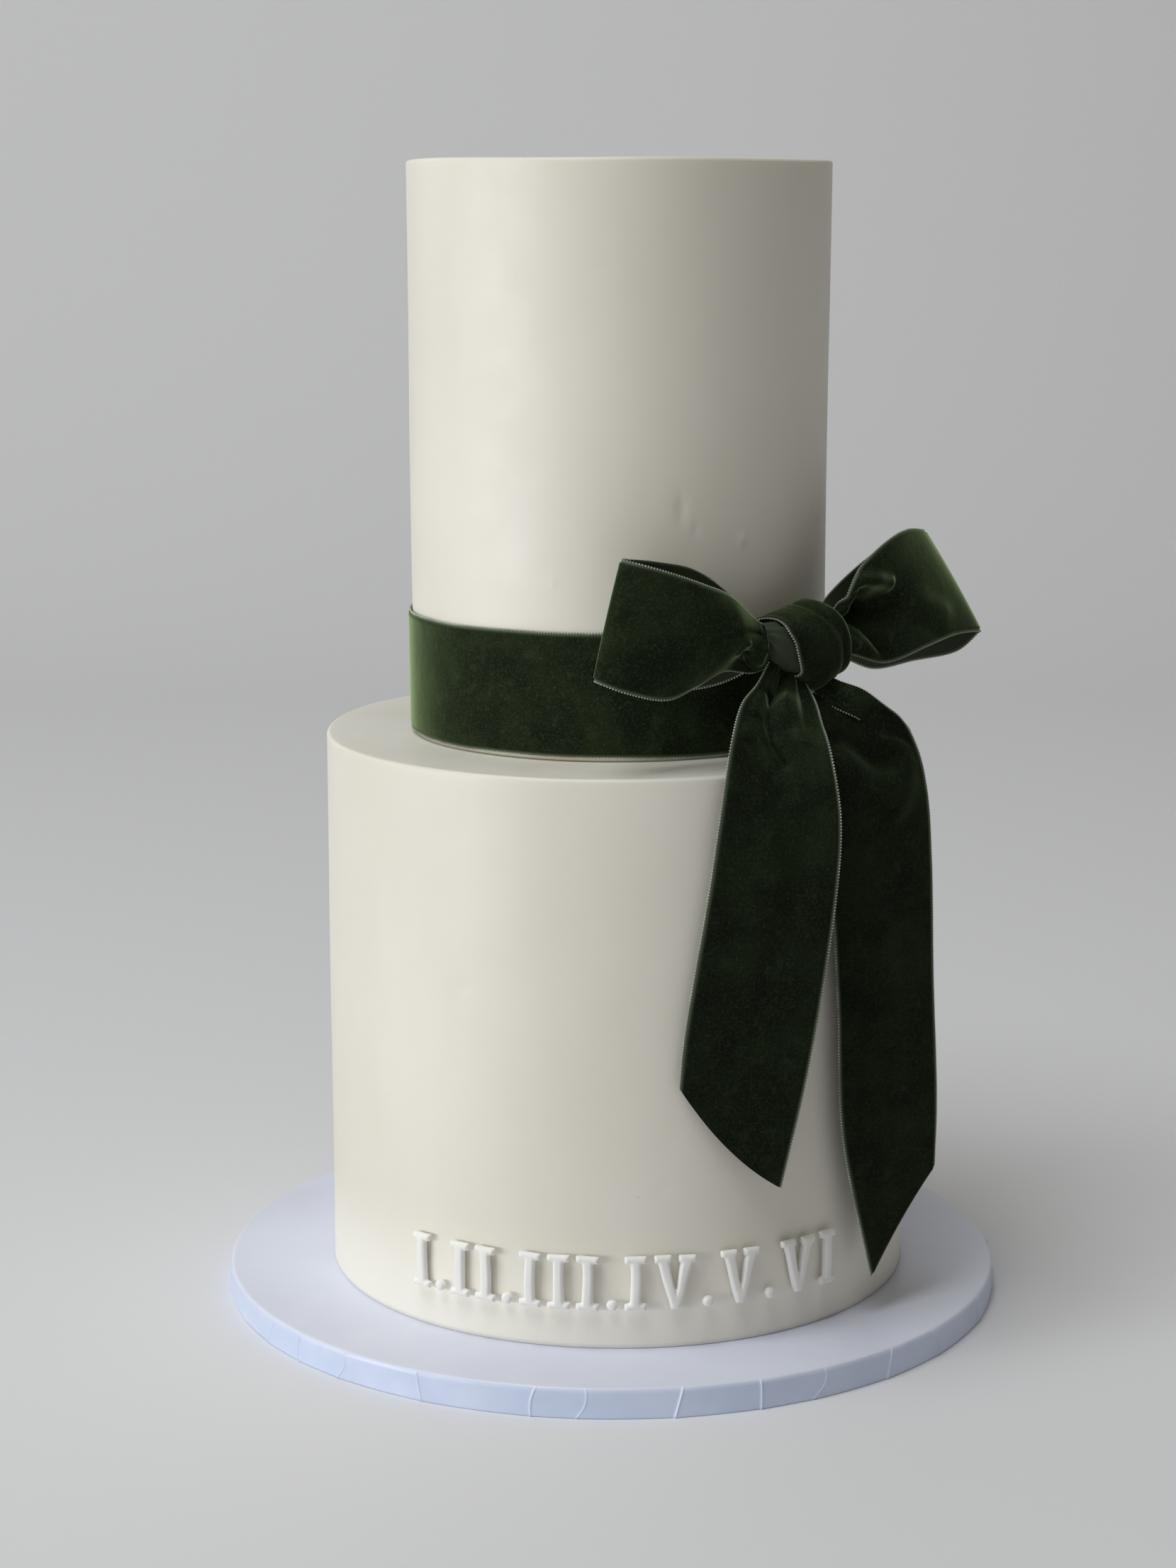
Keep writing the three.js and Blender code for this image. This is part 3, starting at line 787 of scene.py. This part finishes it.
def cloth_grid(turn, side, stations, pleats, creases, rows, facing=1, end_bow=0.0):
    """Cloth between two selvedge curves: straight across, crowned outward by each station's crown,
    pushed in or out at each pleat by depth times exp(-(distance / width) squared) in shares of the
    cloth. A crease follows a line of places and lifts the cloth toward the pile side by the same
    formula, in millimetres on the cloth, whose span across counts as crease_span. The cut end swells
    by end_bow."""
    first = placed(turn, side, [s[0] for s in stations])
    second = placed(turn, side, [s[1] for s in stations])
    s = np.linspace(0, 1, rows)
    a, b = flowing(first, s), flowing(second, s)
    crowns = np.array([row[2] for row in stations], float)
    at = s * (len(crowns) - 1)
    i = np.minimum(at.astype(int), len(crowns) - 2)
    f = at - i
    crown = crowns[i] + (crowns[i + 1] - crowns[i]) * f * f * (3 - 2 * f)
    across = across_places(cloth_columns)
    t = across[None, :]
    lift = crown[:, None] * 4 * t * (1 - t)
    down = s[:, None]
    for at_s, at_t, wide_s, wide_t, depth in pleats:
        lift = lift + depth * np.exp(-(((down - at_s) / wide_s) ** 2) - ((t - at_t) / wide_t) ** 2)
    middle_line = (a + b) / 2
    scale = np.array([np.linalg.norm(np.diff(middle_line, axis=0), axis=1).sum() / MM, crease_span])
    place = np.stack([down + 0 * t, t + 0 * down], -1) * scale
    for depth, wide, line in creases:
        nearest = np.full(place.shape[:2], 1e3)
        for start, end in zip(np.array(line[:-1]) * scale, np.array(line[1:]) * scale):
            reach = np.clip((place - start) @ (end - start) / ((end - start) @ (end - start)), 0, 1)
            gap = place - start - reach[..., None] * (end - start)
            nearest = np.minimum(nearest, np.linalg.norm(gap, axis=2))
        lift = lift + facing * depth * np.exp(-((nearest / wide) ** 2))
    run = np.gradient(middle_line, axis=0)
    flat_normal = np.cross(run, b - a) * -side
    flat_normal /= np.maximum(np.linalg.norm(flat_normal, axis=1, keepdims=True), 1e-12)
    middle = a[:, None] * (1 - t[..., None]) + b[:, None] * t[..., None]
    middle = middle + flat_normal[:, None] * lift[..., None] * MM
    swell = end_bow * 4 * t * (1 - t) * np.clip((down - 0.85) / 0.15, 0, 1) ** 2
    middle = middle + run[-1] / np.linalg.norm(run[-1]) * swell[..., None] * MM
    along_grid = np.gradient(middle, axis=0)
    across_grid = np.gradient(middle, across, axis=1)
    normal = np.cross(along_grid, across_grid) * -side
    normal /= np.maximum(np.linalg.norm(normal, axis=2, keepdims=True), 1e-15)
    return middle, normal, across


def bow_piece(name, stations, pleats, creases, turn, side, rows, held, facing=1, end_bow=0.0):
    """One ribbon of the bow with its thread loops, from its stations: its turn from the front, the side
    that it runs to (1 right, -1 left), its rows of points and how it is held. A facing of -1 turns the pile
    to the other side of the cloth."""
    middle, normal, across = cloth_grid(turn, side, stations, pleats, creases, rows, facing, end_bow)
    cloth = cloth_solid(name + "_velvet", middle, normal * facing, across)
    loops = thread_loops(name + "_picots", [middle[:, 0], middle[:, -1]])
    # A hanging ribbon takes the shaded copy of the velvet, any other the lit one.
    velvet_finish = hung_velvet_shaded if held == "hung" else laid_velvet_lit
    finish_ribbon(cloth, loops, velvet_finish, name)


loop_left_stations = [
    [[11, 80, 6], [11, 80, -5], 1],
    [[15.5, 80, 8.7], [16.5, 79, -7], 4],
    [[26, 82, 17], [26, 78, -6], 7],
    [[37.5, 86, 21.5], [37.4, 80, -9.8], 4],
    [[49, 87, 25.6], [49, 83, -12.3], 1],
    [[58.2, 85, 28.5], [62.3, 81, -9.1], 0.5],
    [[62.3, 81, 29.8], [69, 76, -6], 0.3],
    [[58, 75.5, 29.2], [62, 72.5, -8.5], 0.3],
    [[45.5, 72.5, 27.4], [47.6, 71, -10.6], 0.5],
    [[31, 70, 23.8], [29, 70, -11.9], 0.5],
    [[20.4, 71, 16.5], [18, 71, -9.5], 1],
    [[11, 74, 6], [11, 74, -5], 1],
]
loop_left_pleats = [[0.14, 0.78, 0.05, 0.16, -3.5]]
loop_left_creases = [
    (-2.4, 1.2, [(0.135, 0.60), (0.145, 0.67)]),
    (1.0, 0.9, [(0.172, 0.68), (0.172, 0.55), (0.15, 0.49)]),
    (-1.3, 1.0, [(0.13, 0.70), (0.105, 0.88)]),
    (1.2, 2.4, [(0.08, 0.48), (0.085, 0.76)]),
    (1.1, 1.2, [(0.068, 0.04), (0.064, 0.5)]),
    (-1.0, 7.0, [(0.40, 0.92), (0.42, 0.45)]),
    (-0.7, 1.5, [(0.10, 0.25), (0.19, 0.42), (0.27, 0.5)]),
]
bow_piece(
    "bow_loop_left", loop_left_stations, loop_left_pleats, loop_left_creases,
    turn=29, side=-1, rows=240, held="gathered",
)

loop_right_stations = [
    [[10, 84, 9], [11, 84, -3.5], 1],
    [[17, 85, 19], [18.8, 84, -4], 1],
    [[25, 86, 26], [30, 88, -7.3], 1],
    [[34, 86, 30.6], [48, 90, -3.5], 1],
    [[45, 83, 32.2], [62.2, 89, -1.3], 1],
    [[56, 79, 31], [76, 86.5, -2], 0.5],
    [[60.7, 75, 30], [80, 82.5, -3.4], 0.3],
    [[57, 71.5, 28.6], [76, 78, -9], 0.3],
    [[46, 70.5, 25], [60, 72.5, -11.5], 0.5],
    [[33, 70, 18.4], [44, 71, -12.5], 0.5],
    [[21, 72, 12.5], [30, 72, -8], 1],
    [[11, 76, 7.5], [14, 76, -4], 1],
]
loop_right_pleats = [[0.12, 0.46, 0.09, 0.13, -8], [0.14, 0.17, 0.09, 0.12, 2.5]]
loop_right_creases = [
    (2.8, 1.8, [(0.05, 0.02), (0.11, 0.06), (0.155, 0.17), (0.215, 0.32)]),
    (-4.6, 2.4, [(0.12, 0.24), (0.125, 0.36), (0.112, 0.5)]),
    (-3.0, 1.8, [(0.085, 0.58), (0.13, 0.70), (0.178, 0.88)]),
    (1.7, 2.2, [(0.05, 0.72), (0.10, 0.85)]),
    (1.2, 1.8, [(0.04, 0.15), (0.07, 0.4)]),
    (0.9, 3.6, [(0.25, 0.5), (0.34, 0.76)]),
    (-0.9, 2.6, [(0.22, 0.62), (0.30, 0.9)]),
]
bow_piece(
    "bow_loop_right", loop_right_stations, loop_right_pleats, loop_right_creases,
    turn=42, side=1, rows=240, held="gathered",
)

tail_front_stations = [
    [[-8, 72, -1], [1, 69, -8.5], 1],
    [[-14.4, 79, -9.4], [3.3, 79, -15.1], 3],
    [[-20.5, 86, -14.2], [3.4, 88, -20.4], 3],
    [[-24.8, 93, -23.2], [4, 97, -27.5], 2],
    [[-29.2, 98, -45.5], [6.7, 99.5, -46.2], 1],
    [[-32.2, 98, -67], [6.4, 98.5, -67], 0.5],
    [[-39.6, 97.5, -114], [-0.9, 97.5, -121], 0.3],
    [[-40.8, 97.2, -128.4], [-9.4, 97.2, -161], 0],
]
tail_front_pleats = [[0.24, 0.5, 0.13, 0.16, -5]]
tail_front_creases = [
    (-2.6, 2.3, [(0.06, 0.44), (0.195, 0.345), (0.33, 0.37), (0.426, 0.43), (0.47, 0.55)]),
    (1.4, 3.0, [(0.05, 0.64), (0.2, 0.66), (0.4, 0.72)]),
    (-1.8, 3.0, [(0.43, 0.2), (0.475, 0.32), (0.53, 0.5)]),
    (1.3, 2.4, [(0.05, 0.2), (0.16, 0.17), (0.3, 0.18)]),
    (-1.1, 2.6, [(0.17, 0.24), (0.2, 0.34)]),
    (0.9, 4.0, [(0.55, 0.35), (0.7, 0.5)]),
    (-0.8, 4.0, [(0.6, 0.75), (0.8, 0.6)]),
]
bow_piece(
    "bow_tail_front", tail_front_stations, tail_front_pleats, tail_front_creases,
    turn=9, side=1, rows=300, held="hung", facing=-1, end_bow=3.4,
)

tail_rear_stations = [
    [[3.5, 79, -4], [1.5, 77, -8], 0.5],
    [[9, 86, -10], [5, 86, -16.5], 0.5],
    [[16.2, 91, -13.4], [12.5, 93, -21.5], 0.6],
    [[21.5, 95.5, -18.2], [17.5, 90.5, -24], 0.3],
    [[25.5, 98, -22], [9, 84, -15], 0.3],
    [[30, 99.5, -29.5], [-6, 83, -17], 1],
    [[34.5, 100.3, -45], [-5, 97.5, -36], 1.5],
    [[37, 100.2, -66], [-0.6, 98, -72], 0.8],
    [[39, 100, -104], [2, 98.8, -108], 0.4],
    [[41.5, 100, -145], [4.5, 99, -150], 0.3],
    [[41.2, 100, -166], [17, 99, -198], 0],
]
tail_rear_creases = [
    (2.0, 3.6, [(0.53, 0.19), (0.556, 0.17), (0.589, 0.22), (0.617, 0.32), (0.632, 0.41)]),
    (-2.6, 4.6, [(0.551, 0.76), (0.546, 0.61), (0.559, 0.51), (0.569, 0.45)]),
    (0.8, 5.0, [(0.7, 0.6), (0.85, 0.5)]),
]
bow_piece(
    "bow_tail_rear", tail_rear_stations, [], tail_rear_creases,
    turn=34.5, side=1, rows=320, held="hung", end_bow=-1.5,
)


# Knot: the ribbon passed over the middle of the bow and pulled tight, pile outward, with a strip of
# its smooth reverse turned out on the left. Beneath it is the wad of gathered cloth that it grips.
knot_rows = [
    [-15, 7.4, 1, 5],
    [-13, 8.4, -2.8, 7.5],
    [-8, 8.9, -7, 9.2],
    [-2, 10.5, -10.8, 10.3],
    [3, 12.0, -13.4, 10.6],
    [8.5, 12.2, -12, 10.4],
    [11.5, 10.8, -10, 9.8],
    [14.2, 7.0, -8.8, 8.7],
    [15.5, 2.5, -7.2, 7],
]


def squarish(value):
    """A sine or cosine drawn out so that the round it makes comes nearer a square."""
    return np.sign(value) * np.abs(value) ** 0.8


def knot_skin(share, angle, proud):
    """A point of the knot: its rows give place along, top, bottom and depth, and each row is carried
    round a squarish oval that stands proud by the given millimetres."""
    rows = flowing(np.array(knot_rows, float), np.ravel(share)).reshape(*np.shape(share), 4)
    along, top, bottom, deep = np.moveaxis(rows, -1, 0)
    out = knot_out / MM + (deep + proud) * squarish(np.cos(angle))
    up = (top + bottom) / 2 + ((top - bottom) / 2 + proud) * squarish(np.sin(angle))
    return placed(knot_turn, 1, np.stack([along, out, up], -1))


def knot_wad():
    """The wad: the knot's skin drawn in a little and closed at both ends. Its stored numbers are those
    of the reverse at the middle of the ribbon, so it takes that look."""
    rows_along, rows_round = 40, 72
    turns = np.linspace(0, 2 * np.pi, rows_round, endpoint=False)
    share, angle = np.meshgrid(np.linspace(0, 1, rows_along), turns, indexing="ij")
    ripple = 0.25 * np.sin(angle * 9 + share * 5)
    rows = knot_skin(share, angle, -0.7 + ripple)
    first, last = rows[0].mean(0), rows[-1].mean(0)
    points = np.concatenate([[first], rows.reshape(-1, 3), [last]])
    values = {key: np.full(len(points), at) for key, at in (("pile", 0), ("along", 5), ("across", 19))}
    return make_piece("bow_knot_wad", points, turned_faces(rows_along, rows_round), values)


def knot_wrap():
    """The wrap, over the front of the knot from under its foot to behind its top: each selvedge
    follows a line of places on the knot's skin, and soft lengthwise folds run between them."""
    turns = [-165, -120, -80, -50, -21, 0, 27, 62, 100, 140, 165]
    left_line = [0.04, 0.14, 0.27, 0.31, 0.26, 0.226, 0.185, 0.185, 0.19, 0.08, 0.03]
    right_line = [0.97, 0.97, 0.965, 0.965, 0.955, 0.925, 0.80, 0.635, 0.64, 0.88, 0.97]
    lines = flowing(np.array([turns, left_line, right_line], float).T, np.linspace(0, 1, 170))
    across = across_places(26)
    angle = np.radians(lines[:, :1])
    share = lines[:, 1:2] + (lines[:, 2:] - lines[:, 1:2]) * across[None, :]
    folds = 0.4 * np.exp(-(((across - 0.82) / 0.09) ** 2)) - 0.4 * np.exp(-(((across - 0.62) / 0.08) ** 2))
    folds = folds + 0.35 * np.exp(-(((across - 0.25) / 0.1) ** 2)) + 0.05 * np.sin(38 * across)
    middle = knot_skin(share, angle + 0 * share, 0.35 + folds[None, :])
    normal = np.cross(np.gradient(middle, axis=0), np.gradient(middle, across, axis=1))
    normal /= np.maximum(np.linalg.norm(normal, axis=2, keepdims=True), 1e-15)
    centre = middle.mean((0, 1))
    if ((middle - centre) * normal).sum() < 0:
        normal = -normal
    return middle, normal, across


wad = knot_wad()
# The wad takes the shaded copy of the velvet, with the weakest sheen.
wad.data.materials.append(hung_velvet_shaded)
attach(wad, "root")
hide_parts("bow_knot")
middle, normal, across = knot_wrap()
wrap = cloth_solid("bow_knot_velvet", middle, normal, across)
wrap_loops = thread_loops("bow_knot_picots", [middle[:, 0], middle[:, -1]])
finish_ribbon(wrap, wrap_loops, wrapped_velvet_half_lit, "bow_knot")


# Studio: a pale sweep of paper under and behind the cake, and soft lamps placed for the strong light
# from the left that the cake stands in.
floor_back = 1.2
sweep_round = 0.8
wall_top = 3.0
sweep_half_width = 3.0


def sweep_points():
    """A floor that curves up into a wall behind: a profile of floor, quarter round and wall carried
    straight across."""
    bend = np.linspace(0, np.pi / 2, 16)[1:]
    floor = [(back, 0.0) for back in (-2.5, -0.5, 0.0, 0.6, floor_back)]
    curve = [(floor_back + sweep_round * math.sin(a), sweep_round * (1 - math.cos(a))) for a in bend]
    profile = np.array(floor + curve + [(floor_back + sweep_round, wall_top)])
    columns = 9
    across = np.tile(np.linspace(-sweep_half_width, sweep_half_width, columns), (len(profile), 1))
    back = np.repeat(profile[:, :1], columns, 1)
    up = np.repeat(profile[:, 1:], columns, 1)
    return np.stack([across, back, up], -1), [grid_quads(len(profile), columns)]


sweep = make_piece("studio_sweep", *sweep_points())
material, tree, shader, place = new_material("sweep_paper")
shader.inputs["Base Color"].default_value = (0.80, 0.80, 0.81, 1.0)
shader.inputs["Roughness"].default_value = 0.8
sweep.data.materials.append(material)


cake_middle = 0.18


def lamp(name, place, wide, tall, watts, colour):
    """A soft lamp of a given width and height at a place, turned to the middle of the cake."""
    data = bpy.data.lights.new(name, "AREA")
    data.shape = "RECTANGLE"
    data.size = wide
    data.size_y = tall
    data.energy = watts
    data.color = colour
    piece = bpy.data.objects.new(name, data)
    piece.location = place
    aim = Vector((0.0, 0.0, cake_middle)) - Vector(place)
    piece.rotation_euler = aim.to_track_quat("-Z", "Y").to_euler()
    bpy.context.collection.objects.link(piece)


lamp("window", (-1.77, -0.92, 0.2), wide=1.3, tall=0.4, watts=17.5, colour=(0.97, 0.985, 1.0))
lamp("ceiling", (-0.7, -0.7, 2.8), wide=1.6, tall=1.6, watts=45.0, colour=(0.95, 0.975, 1.0))
world = bpy.data.worlds.new("room")
world.use_nodes = True
world.node_tree.nodes["Background"].inputs["Color"].default_value = (1.0, 0.945, 0.845, 1.0)
world.node_tree.nodes["Background"].inputs["Strength"].default_value = 0.155
bpy.context.scene.world = world
bpy.context.scene.view_settings.view_transform = "Standard"
